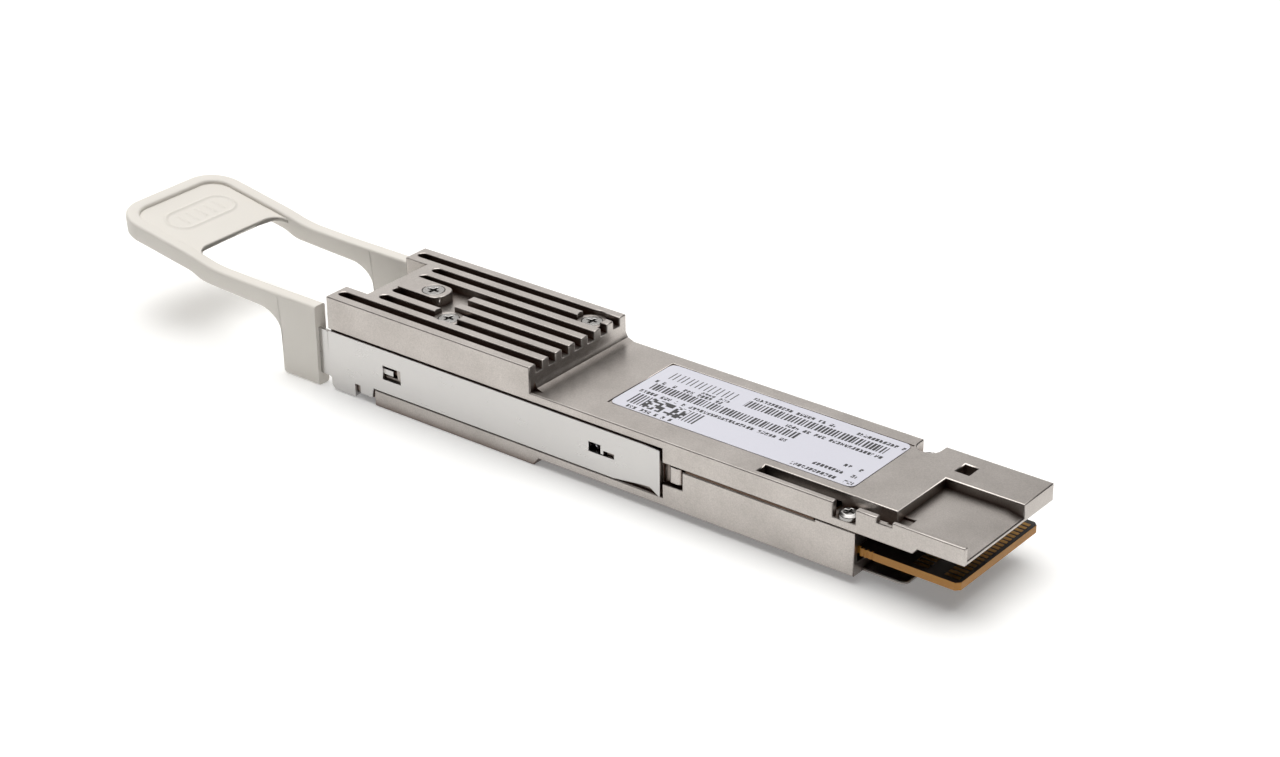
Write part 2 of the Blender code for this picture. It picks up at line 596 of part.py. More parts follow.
prism("flex_circuit", flex, "Y", (-5.5, 1.5), POLYIMIDE)

port_front, port_rear = NOSE_FRONT - 0.2, -25.2
receptacle = box("fibre_receptacle", (port_front, port_rear), (-6.7, 6.7), (0.78, 7.3),
                 PORT_PLASTIC)
for side, place_name in ((-1, "transmit"), (1, "receive")):
    y = side * PORT_PITCH / 2
    half = PORT_WIDTH / 2
    cut(receptacle, box(f"{place_name}_port", (port_front - 1, -26.6), (y - half, y + half),
                        (FERRULE_HEIGHT - 2.5, FERRULE_HEIGHT + 2.4)))
    cut(receptacle, box(f"{place_name}_latch_slot", (port_front - 1, -29.0), (y - 1.2, y + 1.2),
                        (6.0, 8.0)))
    profile = [(0.0, 8.5), (0.9, 8.5), (0.9, 1.4), (0.62, 1.4), (0.62, 0.0), (0.0, 0.0)]
    along = [(-28.2 + height, radius) for radius, height in profile]
    sleeve_mesh = bpy.data.meshes.new(f"{place_name}_ferrule_sleeve")
    sleeve_mesh.from_pydata([(x * MM, 0.0, radius * MM) for x, radius in along],
                            [(i, i + 1) for i in range(len(along) - 1)], [])
    sleeve = finish(f"{place_name}_ferrule_sleeve", sleeve_mesh, ZIRCONIA, housing)
    sleeve.location = (0.0, y * MM, FERRULE_HEIGHT * MM)
    turn = sleeve.modifiers.new("turn", "SCREW")
    turn.axis = "X"
    turn.steps = 16
    turn.render_steps = 16
    turn.use_merge_vertices = True
    turn.merge_threshold = 1e-6
    bore = box(f"{place_name}_sleeve_bore", (-27.0, port_rear + 1.0), (y - 0.95, y + 0.95),
               (FERRULE_HEIGHT - 0.95, FERRULE_HEIGHT + 0.95))
    cut(receptacle, bore)

z = FERRULE_HEIGHT
FIBRES = (
    ("transmit_fibre", ((-19.6, -3.125, z), (-18.9, -2.4, z), (-17.4, -1.5, z), (-15.8, -1.3, z),
                        (OPTICS_FRONT - 0.1, -1.3, z))),
    ("receive_fibre", ((-19.6, 3.125, z), (-18.4, 2.8, z), (-16.8, 1.2, z), (-15.6, 0.5, z),
                       (OPTICS_FRONT - 0.1, 0.4, z))),
    ("laser_fibre", ((OPTICS_FRONT - 0.1, 4.9, z), (-15.7, 4.8, z), (-16.5, 3.9, z),
                     (-16.3, 2.9, z), (-15.6, 2.1, z), (OPTICS_FRONT - 0.1, 1.9, z))),
)
for name, stations in FIBRES:
    tube(name, smooth_route(stations, 4), 0.3, FIBRE_JACKET, 2)


# ---------------------------------------------------------------- gaskets and label

for side, place_name in ((-1, "near"), (1, "far")):
    box(place_name + "_gasket", (23.0, 40.8), sorted((side * 8.78, side * 9.08)), (5.32, 5.57),
        GASKET)
label_floor = BODY_TOP - LABEL_RECESS + 0.02
box("top_label", LABEL_X, LABEL_Y, (label_floor, label_floor + 0.08), LABEL_FILM)
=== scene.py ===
"""A pluggable optical transceiver module: the looks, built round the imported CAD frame."""
import json
import math

import bmesh
import bpy
import numpy as np
from mathutils import Matrix, Vector

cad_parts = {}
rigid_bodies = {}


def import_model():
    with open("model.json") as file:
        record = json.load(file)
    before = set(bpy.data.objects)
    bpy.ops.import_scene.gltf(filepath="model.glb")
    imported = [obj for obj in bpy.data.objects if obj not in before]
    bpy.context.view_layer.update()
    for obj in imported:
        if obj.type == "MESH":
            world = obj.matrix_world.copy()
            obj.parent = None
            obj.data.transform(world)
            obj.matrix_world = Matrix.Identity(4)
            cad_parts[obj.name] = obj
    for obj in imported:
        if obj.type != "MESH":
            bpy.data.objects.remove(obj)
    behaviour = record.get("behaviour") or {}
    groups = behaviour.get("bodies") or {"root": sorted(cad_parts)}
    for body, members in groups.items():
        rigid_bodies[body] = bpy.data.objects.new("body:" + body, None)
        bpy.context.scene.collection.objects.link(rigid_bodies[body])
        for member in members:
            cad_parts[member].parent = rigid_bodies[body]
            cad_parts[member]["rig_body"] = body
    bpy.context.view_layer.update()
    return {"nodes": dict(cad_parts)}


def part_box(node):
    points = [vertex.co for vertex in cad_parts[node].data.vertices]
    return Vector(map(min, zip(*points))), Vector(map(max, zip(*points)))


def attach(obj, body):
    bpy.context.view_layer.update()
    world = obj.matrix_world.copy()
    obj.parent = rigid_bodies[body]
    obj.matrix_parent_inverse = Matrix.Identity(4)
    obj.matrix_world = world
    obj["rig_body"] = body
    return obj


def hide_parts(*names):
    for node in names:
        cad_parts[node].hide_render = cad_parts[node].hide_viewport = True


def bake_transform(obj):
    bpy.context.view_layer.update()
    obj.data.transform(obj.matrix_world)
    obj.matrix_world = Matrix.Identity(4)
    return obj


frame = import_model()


# ---------------------------------------------------------------- camera, floor and lights
# A white sweep that gives off a little light of its own, so that it shows as plain white. The
# metal reflects a broad bright ceiling, one glowing side of the room and a dark one.

MM = 0.001
FLOOR_DROP = 0.02 * MM
TARGET = Vector((0.01491, 0.0, 0.01063))
AZIMUTH, ELEVATION, ROLL = math.radians(38.353), math.radians(26.787), math.radians(-0.548)
DISTANCE = 0.33162

back = Vector((math.sin(AZIMUTH) * math.cos(ELEVATION),
               -math.cos(AZIMUTH) * math.cos(ELEVATION), math.sin(ELEVATION)))
level = Vector((0.0, 0.0, 1.0)).cross(back).normalized()
upright = back.cross(level)
right = math.cos(ROLL) * level + math.sin(ROLL) * upright
top = math.cos(ROLL) * upright - math.sin(ROLL) * level
camera_data = bpy.data.cameras.new("camera")
camera_data.lens = 78.88
camera_data.sensor_width = 36.0
camera_data.clip_start = 0.01
camera = bpy.data.objects.new("camera", camera_data)
turn = Matrix((right, top, back)).transposed().to_4x4()
camera.matrix_world = Matrix.Translation(TARGET + back * DISTANCE) @ turn
bpy.context.scene.collection.objects.link(camera)
bpy.context.scene.camera = camera
bpy.context.scene.view_settings.view_transform = "Standard"


def linear(code, alpha=1.0):
    """An sRGB hex colour as linear light: c/12.92 below 0.04045, else ((c + 0.055)/1.055)^2.4."""
    parts = np.array([int(code[i:i + 2], 16) for i in (1, 3, 5)]) / 255
    light = np.where(parts <= 0.04045, parts / 12.92, ((parts + 0.055) / 1.055) ** 2.4)
    return (*light.tolist(), alpha)


def add_node(tree, kind, inputs=None, **settings):
    """Adds a node; each input is a value, or another node's output, which is linked."""
    node = tree.nodes.new(kind)
    for name, value in settings.items():
        setattr(node, name, value)
    for name, value in (inputs or {}).items():
        if isinstance(value, bpy.types.NodeSocket):
            tree.links.new(value, node.inputs[name])
        else:
            node.inputs[name].default_value = value
    return node


world = bpy.data.worlds.new("studio")
world.use_nodes = True
sky = world.node_tree
sky.nodes.clear()
direction = add_node(sky, "ShaderNodeTexCoord").outputs["Generated"]


def patch(centre, inner, outer):
    """1 within an angle of a direction, falling smoothly to 0 at a wider one, in degrees."""
    aim = Vector(centre).normalized()
    cosine = add_node(sky, "ShaderNodeVectorMath", {0: direction, 1: aim},
                      operation="DOT_PRODUCT").outputs["Value"]
    return add_node(sky, "ShaderNodeMapRange", {
        "Value": cosine, "From Min": math.cos(math.radians(outer)),
        "From Max": math.cos(math.radians(inner))},
        interpolation_type="SMOOTHSTEP").outputs["Result"]


def mixed(share, base, other):
    """base(1 - share) + other share, as a colour."""
    return add_node(sky, "ShaderNodeMix", {"Factor": share, "A": base, "B": other},
                    data_type="RGBA").outputs["Result"]


walls = mixed(patch((-0.80, 0.50, 0.40), 8.0, 50.0), (0.075, 0.072, 0.07, 1.0),
              (1.05, 1.035, 1.02, 1.0))
walls = mixed(patch((0.60, 0.66, 0.40), 24.0, 80.0), walls, (0.02, 0.018, 0.017, 1.0))
walls = mixed(patch((-0.05, 0.12, 0.99), 14.0, 45.0), walls, (3.05, 3.03, 2.99, 1.0))
studio = add_node(sky, "ShaderNodeBackground", {"Color": walls, "Strength": 1.0})
add_node(sky, "ShaderNodeOutputWorld", {"Surface": studio.outputs["Background"]})
bpy.context.scene.world = world


def soft_light(name, place, aim, width, height, power):
    """A flat rectangular soft box at a place, facing a point."""
    data = bpy.data.lights.new(name, "AREA")
    data.shape = "RECTANGLE"
    data.size, data.size_y = width, height
    data.energy = power
    made = bpy.data.objects.new(name, data)
    made.location = place
    made.rotation_euler = (Vector(aim) - Vector(place)).to_track_quat("-Z", "Y").to_euler()
    bpy.context.scene.collection.objects.link(made)


soft_light("overhead_soft_box", (-0.12, 0.12, 0.75), (0.0, 0.0, 0.0), 0.7, 0.5, 0.7)

sweep = bpy.data.meshes.new("paper_sweep")
sweep.from_pydata([(x, y, -FLOOR_DROP) for x, y in ((-9, -9), (9, -9), (9, 9), (-9, 9))], [],
                  [(0, 1, 2, 3)])
paper = bpy.data.materials.new("white_background_paper")
paper.use_nodes = True
shader = paper.node_tree.nodes["Principled BSDF"]
shader.inputs["Base Color"].default_value = linear("#f2f2f1")
shader.inputs["Roughness"].default_value = 0.9
shader.inputs["Emission Color"].default_value = (1.0, 1.0, 1.0, 1.0)
shader.inputs["Emission Strength"].default_value = 0.22
sweep.materials.append(paper)
floor = bpy.data.objects.new("paper_sweep", sweep)
bpy.context.scene.collection.objects.link(floor)


# ---------------------------------------------------------------- cast shells
# The top shell with its heat sink, and the bottom shell: zinc die castings, trimmed, milled on
# the seats, and plated with satin nickel. Screws hold the two together on a conductive gasket.

def room_beside(edge):
    """The least distance, in the plane of either face, from five points along an edge to the
    face's next edge, measured square to the edge."""
    ends = [vertex.co for vertex in edge.verts]
    along = (ends[1] - ends[0]).normalized()
    least = 1.0
    for face in edge.link_faces:
        across = np.array(face.normal.cross(along))
        corners = np.array([vertex.co for vertex in face.verts])
        after = np.roll(corners, -1, axis=0)
        for share in (0.1, 0.3, 0.5, 0.7, 0.9):
            start = np.array(ends[0].lerp(ends[1], share))
            u0, v0 = (corners - start) @ np.array(along), (corners - start) @ across
            u1, v1 = (after - start) @ np.array(along), (after - start) @ across
            crossing = (u0 * u1 < 0) & (np.abs(u0 - u1) > 1e-9)
            reach = np.abs((v0 * u1 - v1 * u0)[crossing] / (u1 - u0)[crossing])
            reach = reach[reach > 2e-6]
            if reach.size:
                least = min(least, float(reach.min()))
    return least


SHARP_ANGLE = 32.0
RADII_OF_ROOM = 2.4
LEAST_SHARE = 0.3


def softened(node, name, radius, shape=None):
    """A merged copy of a CAD node's mesh: facets that lie flat together become one face, and
    each outside edge over the sharp angle is rounded to the radius (mm), or to less where the
    faces beside it are narrow or the edge is short. shape may change the mesh before that."""
    source = frame["nodes"][node]
    work = bmesh.new()
    work.from_mesh(source.data)
    bmesh.ops.remove_doubles(work, verts=work.verts, dist=2e-7)
    bmesh.ops.dissolve_limit(work, angle_limit=math.radians(0.6), verts=work.verts,
                             edges=work.edges)
    if shape:
        shape(work)
    weight = work.edges.layers.float.new("bevel_weight_edge")
    for edge in work.edges:
        bend = math.degrees(edge.calc_face_angle(0.0))
        edge.smooth = bend <= SHARP_ANGLE
        if bend <= SHARP_ANGLE or not edge.is_convex:
            continue
        share = min(1.0, room_beside(edge) / (RADII_OF_ROOM * radius * MM))
        chained = all(
            any(other is not edge and other.calc_length() < 4 * radius * MM
                and abs((other.other_vert(vertex).co - vertex.co).normalized().dot(
                    (edge.other_vert(vertex).co - vertex.co).normalized())) > 0.85
                for other in vertex.link_edges) for vertex in edge.verts)
        if not chained:
            share = min(share, edge.calc_length() / (RADII_OF_ROOM * radius * MM))
        edge[weight] = share if share > LEAST_SHARE else 0.0
    for face in work.faces:
        face.smooth = True
    mesh = bpy.data.meshes.new(name)
    work.to_mesh(mesh)
    work.free()
    piece = bpy.data.objects.new(name, mesh)
    bpy.context.scene.collection.objects.link(piece)
    round_edges = piece.modifiers.new("rounded_edges", "BEVEL")
    round_edges.width = radius * MM
    round_edges.segments = 2
    round_edges.limit_method = "WEIGHT"
    round_edges.use_clamp_overlap = False
    round_edges.loop_slide = False
    weld = piece.modifiers.new("weld_corners", "WELD")
    weld.merge_threshold = 0.004 * MM
    shading = piece.modifiers.new("flat_faces_stay_flat", "WEIGHTED_NORMAL")
    shading.keep_sharp = True
    shading.weight = 100
    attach(piece, source["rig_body"])
    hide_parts(node)
    return piece


def dress(piece, material):
    """Gives a piece its one material."""
    piece.data.materials.clear()
    piece.data.materials.append(material)


def new_finish(name):
    """A material to fill in: itself, its tree, its shader, and the piece's own coordinates."""
    made = bpy.data.materials.new(name)
    made.use_nodes = True
    tree = made.node_tree
    place = add_node(tree, "ShaderNodeTexCoord").outputs["Object"]
    return made, tree, tree.nodes["Principled BSDF"], place


def satin_nickel():
    """Nickel-plated die-cast zinc: warm grey metal with a fine cast grain and faint clouding.
    Ambient occlusion paints shade into the colour, darkening it to brown in grooves and corners.
    That painted shade is for the look, and isn't a measured fact of the plating."""
    made, tree, shader, place = new_finish("satin_nickel_on_die_cast_zinc")
    cloud = add_node(tree, "ShaderNodeTexNoise", {
        "Vector": place, "Scale": 1000 / 7.0, "Detail": 4.0, "Roughness": 0.6})
    grain = add_node(tree, "ShaderNodeTexNoise", {
        "Vector": place, "Scale": 1000 / 0.16, "Detail": 3.0, "Roughness": 0.6})
    tone = add_node(tree, "ShaderNodeValToRGB", {"Fac": cloud.outputs["Fac"]})
    tone.color_ramp.elements[0].position = 0.3
    tone.color_ramp.elements[0].color = linear("#b0aaa5")
    tone.color_ramp.elements[1].position = 0.7
    tone.color_ramp.elements[1].color = linear("#c1bbb6")
    speckle = add_node(tree, "ShaderNodeMapRange", {
        "Value": grain.outputs["Fac"], "From Min": 0.3, "From Max": 0.7,
        "To Min": 0.86, "To Max": 1.1})
    speckled = add_node(tree, "ShaderNodeVectorMath", {
        "Vector": tone.outputs["Color"], "Scale": speckle.outputs["Result"]}, operation="SCALE")
    # Painted shade: ambient occlusion blends the colour towards brown #5c463a in grooves and
    # corners.
    openness = add_node(tree, "ShaderNodeAmbientOcclusion", {"Distance": 1.6 * MM}, samples=8)
    depth = add_node(tree, "ShaderNodeMapRange", {
        "Value": openness.outputs["AO"], "From Min": 0.35, "From Max": 0.92})
    tone_with_painted_shade = add_node(tree, "ShaderNodeMix", {
        "Factor": depth.outputs["Result"], "A": linear("#5c463a"), "B": speckled.outputs["Vector"]},
        data_type="RGBA")
    tree.links.new(tone_with_painted_shade.outputs["Result"], shader.inputs["Base Color"])
    sheen = add_node(tree, "ShaderNodeMapRange", {
        "Value": grain.outputs["Fac"], "To Min": 0.24, "To Max": 0.40})
    tree.links.new(sheen.outputs["Result"], shader.inputs["Roughness"])
    bumps = add_node(tree, "ShaderNodeBump", {
        "Height": grain.outputs["Fac"], "Strength": 0.22, "Distance": 0.03 * MM})
    tree.links.new(bumps.outputs["Normal"], shader.inputs["Normal"])
    shader.inputs["Metallic"].default_value = 1.0
    return made


nickel = satin_nickel()
for node in ("top_shell", "bottom_shell"):
    dress(softened(node, node + "_casting", 0.12), nickel)


# ---------------------------------------------------------------- latch slider
# One stainless strip pressed into a U: two side plates joined by a strap under the nose. Each
# plate steps inwards at the front, where the pull tab's leg is moulded over it.

def brushed_steel():
    """Cold-rolled stainless sheet: a smooth bright metal, faintly lined along its length by the
    rolls, with a few duller rubs."""
    made, tree, shader, place = new_finish("rolled_stainless_sheet")
    lined = add_node(tree, "ShaderNodeMapping", {"Vector": place, "Scale": (0.03, 1.0, 1.0)})
    lines = add_node(tree, "ShaderNodeTexNoise", {
        "Vector": lined.outputs["Vector"], "Scale": 1000 / 0.16, "Detail": 2.0})
    rubs = add_node(tree, "ShaderNodeTexNoise", {
        "Vector": place, "Scale": 1000 / 4.0, "Detail": 5.0, "Roughness": 0.65})
    tone = add_node(tree, "ShaderNodeMix", {
        "Factor": rubs.outputs["Fac"], "A": linear("#c2c0be"), "B": linear("#c9c7c5")},
        data_type="RGBA")
    tree.links.new(tone.outputs["Result"], shader.inputs["Base Color"])
    worn = add_node(tree, "ShaderNodeMath", {0: rubs.outputs["Fac"], 1: lines.outputs["Fac"]},
                    operation="ADD")
    gloss = add_node(tree, "ShaderNodeMapRange", {
        "Value": worn.outputs[0], "From Min": 0.7, "From Max": 1.3,
        "To Min": 0.27, "To Max": 0.31})
    tree.links.new(gloss.outputs["Result"], shader.inputs["Roughness"])
    shader.inputs["Metallic"].default_value = 1.0
    return made


# The hard stop, which is the heat sink's rear face, and the underside of the rear body.
# Sizes from here on are in millimetres from those two and from the centre plane.
STOP_TO_TONGUE_END, NOSE_BELOW_BODY = 60.4, 1.05
STOP_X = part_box("top_shell")[1].x - STOP_TO_TONGUE_END * MM
UNDERSIDE_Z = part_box("bottom_shell")[0].z + NOSE_BELOW_BODY * MM
JOG_START, JOG_END, JOG_DEPTH = -32.9, -33.35, 0.22
TOP_EDGE, TOP_EDGE_DROP = 7.2, 0.22


def jog_inwards(work):
    """Cuts the plates across at both ends of the jog, then moves each point inwards by the jog's
    depth times a straight ramp from 0 at its start to 1 at its end. The plates' top edge is
    lowered a little, which bares more of the casting above it."""
    for across in (JOG_START, JOG_END):
        bmesh.ops.bisect_plane(
            work, geom=work.verts[:] + work.edges[:] + work.faces[:],
            plane_co=(STOP_X + across * MM, 0, 0), plane_no=(1, 0, 0), dist=1e-6)
    for vertex in work.verts:
        along = (vertex.co.x - STOP_X) / MM
        share = min(1.0, max(0.0, (JOG_START - along) / (JOG_START - JOG_END)))
        vertex.co.y -= math.copysign(share * JOG_DEPTH * MM, vertex.co.y)
        if vertex.co.z > UNDERSIDE_Z + TOP_EDGE * MM:
            vertex.co.z -= TOP_EDGE_DROP * MM


steel = brushed_steel()
slider = softened("latch_slider", "latch_slider_plate", 0.05, shape=jog_inwards)
dress(slider, steel)


# ---------------------------------------------------------------- pull tab
# An off-white injection moulding: two legs over the slider's plates, thin arms round the plug
# space, and a tip with a rounded rim round a thin recessed grip. Its mould was spark-eroded.

def lofted(name, rows):
    """A closed surface through rows of points: row by row along it, and round each row in turn.
    rows is an array (row, point in the row, xyz) in metres. The two ends are single faces."""
    count, around, _ = rows.shape
    grid = np.arange(count * around).reshape(count, around)
    near, far = grid[:-1], grid[1:]
    quads = np.stack([near, np.roll(near, -1, 1), np.roll(far, -1, 1), far], -1).reshape(-1, 4)
    faces = quads.tolist() + [grid[0, ::-1].tolist(), grid[-1].tolist()]
    mesh = bpy.data.meshes.new(name)
    mesh.from_pydata(rows.reshape(-1, 3).tolist(), [], faces)
    work = bmesh.new()
    work.from_mesh(mesh)
    bmesh.ops.remove_doubles(work, verts=work.verts, dist=1e-7)
    bmesh.ops.recalc_face_normals(work, faces=work.faces)
    for edge in work.edges:
        edge.smooth = edge.calc_face_angle(0.0) < math.radians(38)
    for face in work.faces:
        face.smooth = True
    work.to_mesh(mesh)
    work.free()
    return mesh


def new_piece(name, meshes, body):
    """One object from one or more meshes, riding on a body if one is named."""
    if len(meshes) > 1:
        work = bmesh.new()
        for mesh in meshes:
            work.from_mesh(mesh)
        work.to_mesh(meshes[0])
        work.free()
    made = bpy.data.objects.new(name, meshes[0])
    bpy.context.scene.collection.objects.link(made)
    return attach(made, body) if body else made


def set_out(points):
    """Points in millimetres from the hard stop, centre plane and underside, as metres."""
    return np.asarray(points, float) * MM + np.array([STOP_X, 0.0, UNDERSIDE_Z])


def rounded_line(corners, radii, steps=6):
    """A line through corners, each cut back by its radius along both sides and bridged by the
    parabola (1-t)^2 a + 2t(1-t) corner + t^2 b."""
    corners = np.asarray(corners, float)
    t = np.linspace(0.0, 1.0, steps + 1)[:, None]
    parts = [corners[:1]]
    for before, corner, after, radius in zip(corners, corners[1:], corners[2:], radii):
        a = corner + (before - corner) / np.linalg.norm(before - corner) * radius
        b = corner + (after - corner) / np.linalg.norm(after - corner) * radius
        parts.append((1 - t) ** 2 * a + 2 * t * (1 - t) * corner + t ** 2 * b)
    return np.concatenate([*parts, corners[-1:]])


def even_points(line, count):
    """A line resampled to evenly spaced points by its arc length."""
    steps = np.r_[0.0, np.cumsum(np.linalg.norm(np.diff(line, axis=0), axis=1))]
    at = np.linspace(0.0, steps[-1], count)
    return np.stack([np.interp(at, steps, line[:, k]) for k in range(line.shape[1])], -1)


TAB_TIP, TAB_HALF, ARM_WIDE, TAB_CORNER = -71.5, 9.45, 1.85, 4.6
TAB_RIM = 0.38
TOP_SLOPE, UNDER_SLOPE = 0.168, 0.160
HEAD_START = TAB_TIP + TAB_CORNER + 0.07
STATIONS = 130
# The top's stations keep nearly over the underside's, and this little towards even spacing.
EVEN_SHARE = 0.06


def head_top(x):
    """The height of the grip's top, which rises forwards at its slope."""
    return 11.0 + TOP_SLOPE * (-57.3 - x)


def head_under(x):
    """The height of the grip's underside, which rises forwards at its slope."""
    return 8.5 + UNDER_SLOPE * (-56.6 - x)


def tab_loop():
    """The rim, arms and legs as one bar: stations run along a U seen from above, and each carries
    a section of half the arm's width either side, between the underside's line and the top's,
    with quarter-circle edges set in square to those lines."""
    under = even_points(rounded_line(
        [(-34.8, -1.05), (-41.1, -1.05), (-41.25, 5.6), (-43.4, 7.2), (-49.5, 7.45), (-54.9, 7.7),
         (-57.0, head_under(-57.0)), (HEAD_START, head_under(HEAD_START))],
        (0.5, 1.25, 1.35, 1.5, 0.9, 0.6)), STATIONS)
    over = rounded_line(
        [(-34.8, 9.87), (-46.0, 9.87), (-53.2, 10.05), (-57.0, head_top(-57.0)),
         (HEAD_START, head_top(HEAD_START))], (2.0, 2.0, 1.6))
    even = np.linspace(-34.8, HEAD_START, STATIONS)
    over_x = (1 - EVEN_SHARE) * under[:, 0] + EVEN_SHARE * even
    over = np.stack([over_x, np.interp(-over_x, -over[:, 0], over[:, 1])], -1)

    def square_to(line, sign):
        """The unit vectors square to a line, each its direction turned by a right angle."""
        run = np.gradient(line, axis=0)
        away = np.stack([-run[:, 1], run[:, 0]], -1) * sign
        return away / np.linalg.norm(away, axis=1, keepdims=True)

    under_away, over_away = square_to(under, 1.0), square_to(over, -1.0)
    half = ARM_WIDE / 2
    round_up = np.linspace(0.0, math.pi / 2, 5)
    across = half - TAB_RIM + TAB_RIM * np.cos(round_up)
    inset = TAB_RIM * (1 - np.sin(round_up))
    t = np.r_[across, -across[::-1], -across, across[::-1]]
    lift = np.r_[inset, inset[::-1], inset, inset[::-1]]
    is_top = np.r_[np.ones(10), np.zeros(10)][:, None]

    def section(u, ua, o, oa, centre, side):
        """One station's points: the line's point, moved in by the inset, and out by t."""
        line = is_top * (o - oa * lift[:, None]) + (1 - is_top) * (u - ua * lift[:, None])
        x = line[:, 0] + side[0] * t + centre[0]
        y = side[1] * t + centre[1]
        slope = is_top[:, 0] * TOP_SLOPE + (1 - is_top[:, 0]) * UNDER_SLOPE
        return np.stack([x, y, line[:, 1] - slope * (side[0] * t + centre[0])], -1)

    centre_y = TAB_HALF - half
    near = [section(under[k], under_away[k], over[k], over_away[k], (0.0, -centre_y), (0.0, -1.0))
            for k in range(STATIONS)]
    end = (under[-1], under_away[-1], over[-1], over_away[-1])
    bend = TAB_CORNER - half
    middle = TAB_HALF - TAB_CORNER
    turn = [section(*end, (-bend * math.sin(a), -middle - bend * math.cos(a)),
                    (-math.sin(a), -math.cos(a)))
            for a in np.linspace(0.0, math.pi / 2, 15)[1:]]
    front = [section(*end, (-bend, y), (-1.0, 0.0)) for y in np.linspace(-middle, 0.0, 5)[1:-1]]
    half_way = np.array(near + turn + front)
    middle_row = section(*end, (-bend, 0.0), (-1.0, 0.0))[None]
    mirrored = half_way[::-1] * np.array([1.0, -1.0, 1.0])
    rows = np.concatenate([half_way, middle_row, mirrored])
    return lofted("tab_loop", set_out(rows))


WEB_FRONT, WEB_REAR, WEB_DROP, WEB_THICK = -69.7, -58.1, 0.5, 0.7
WEB_HALF = 7.75
PLUG_CORNER = 2.4


def grip_web():
    """The thin grip between the arms: a height over x and y. Its top is the rim's plane less the
    drop, plus a ridge exp(-(d/w)^2) along a stadium's edge and low ribs inside the stadium; its
    rear edge curves back into the arms by a quarter circle."""
    across = np.linspace(-WEB_HALF, WEB_HALF, 171)
    inner = np.clip((np.abs(across) - (7.6 - PLUG_CORNER)) / PLUG_CORNER, 0.0, 1.0)
    rear = WEB_REAR + PLUG_CORNER * (1 - np.sqrt(1 - inner ** 2))
    share = np.linspace(0.0, 1.0, 121)
    rim = 0.18
    curl = np.linspace(0.0, math.pi / 2, 5)[1:]
    x = WEB_FRONT + share[:, None] * (rear - rim - WEB_FRONT)[None]
    y = np.broadcast_to(across, x.shape)
    middle, straight, radius = -64.6, 3.3, 2.15
    d = np.hypot(x - middle, np.maximum(np.abs(y) - straight, 0.0)) - radius
    ridge = 0.16 * np.exp(-(d / 0.22) ** 2)
    ribs = 0.12 * np.exp(-(((y + 0.8) % 1.6 - 0.8) / 0.24) ** 2) * (
        1 / (1 + np.exp((np.abs(x - middle) - 1.15) / 0.07))) * (np.abs(y) < 4.1)
    top = head_top(x) - WEB_DROP + ridge + ribs
    under = head_top(x) - WEB_DROP - WEB_THICK
    upper = [np.stack([x, y, top], -1)]
    lower = [np.stack([x, y, under], -1)]
    for a in curl:
        edge_x = rear - rim + rim * math.sin(a)
        level_z = head_top(edge_x) - WEB_DROP
        inset = rim * (1 - math.cos(a))
        upper.append(np.stack([edge_x, across, level_z - inset], -1)[None])
        lower.append(np.stack([edge_x, across, level_z - WEB_THICK + inset], -1)[None])
    upper, lower = np.concatenate(upper), np.concatenate(lower)
    rows = np.concatenate([upper, lower[:, ::-1]], axis=1)
    return lofted("grip_web", set_out(rows))


def tab_moulding_plastic():
    """Off-white polycarbonate blend from a spark-eroded mould: matt, with a fine pebbled skin."""
    made, tree, shader, place = new_finish("eroded_off_white_moulded_plastic")
    pebble = add_node(tree, "ShaderNodeTexNoise", {
        "Vector": place, "Scale": 1000 / 0.22, "Detail": 3.0, "Roughness": 0.6})
    drift = add_node(tree, "ShaderNodeTexNoise", {
        "Vector": place, "Scale": 1000 / 9.0, "Detail": 2.0})
    tone = add_node(tree, "ShaderNodeMix", {
        "Factor": drift.outputs["Fac"], "A": linear("#ddd8d0"), "B": linear("#e3dfd8")},
        data_type="RGBA")
    tree.links.new(tone.outputs["Result"], shader.inputs["Base Color"])
    matt = add_node(tree, "ShaderNodeMapRange", {
        "Value": pebble.outputs["Fac"], "To Min": 0.48, "To Max": 0.62})
    tree.links.new(matt.outputs["Result"], shader.inputs["Roughness"])
    skin = add_node(tree, "ShaderNodeBump", {
        "Height": pebble.outputs["Fac"], "Strength": 0.35, "Distance": 0.03 * MM})
    tree.links.new(skin.outputs["Normal"], shader.inputs["Normal"])
    shader.inputs["IOR"].default_value = 1.56
    return made


tab = new_piece("pull_tab_moulding", [tab_loop(), grip_web()], "slider")
dress(tab, tab_moulding_plastic())
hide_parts("pull_tab")


# ---------------------------------------------------------------- screws
# Nickel-plated steel machine screws with cross recesses: three stand in the heat sink, and two
# with pan heads hold the shells together at the rear corners.

def plated_screw_steel():
    """Bright nickel over cold-headed steel: shiny, with fine uneven marks."""
    made, tree, shader, place = new_finish("bright_nickel_on_screw_steel")
    marks = add_node(tree, "ShaderNodeTexNoise", {
        "Vector": place, "Scale": 1000 / 0.25, "Detail": 4.0, "Roughness": 0.6})
    tone = add_node(tree, "ShaderNodeMix", {
        "Factor": marks.outputs["Fac"], "A": linear("#918f8d"), "B": linear("#b5b3b1")},
        data_type="RGBA")
    tree.links.new(tone.outputs["Result"], shader.inputs["Base Color"])
    gloss = add_node(tree, "ShaderNodeMapRange", {
        "Value": marks.outputs["Fac"], "To Min": 0.16, "To Max": 0.34})
    tree.links.new(gloss.outputs["Result"], shader.inputs["Roughness"])
    shader.inputs["Metallic"].default_value = 1.0
    return made


screw_steel = plated_screw_steel()
for place_name in ("front_heat_sink", "middle_heat_sink", "rear_heat_sink", "near_shell",
                   "far_shell"):
    screw = softened(place_name + "_screw", place_name + "_machine_screw", 0.05)
    dress(screw, screw_steel)


# ---------------------------------------------------------------- label
# White polyester film, thermally printed: bar codes, a square-cell code and lines of text, all
# blank patterns here. It lies in a shallow recess, stuck down with acrylic glue.

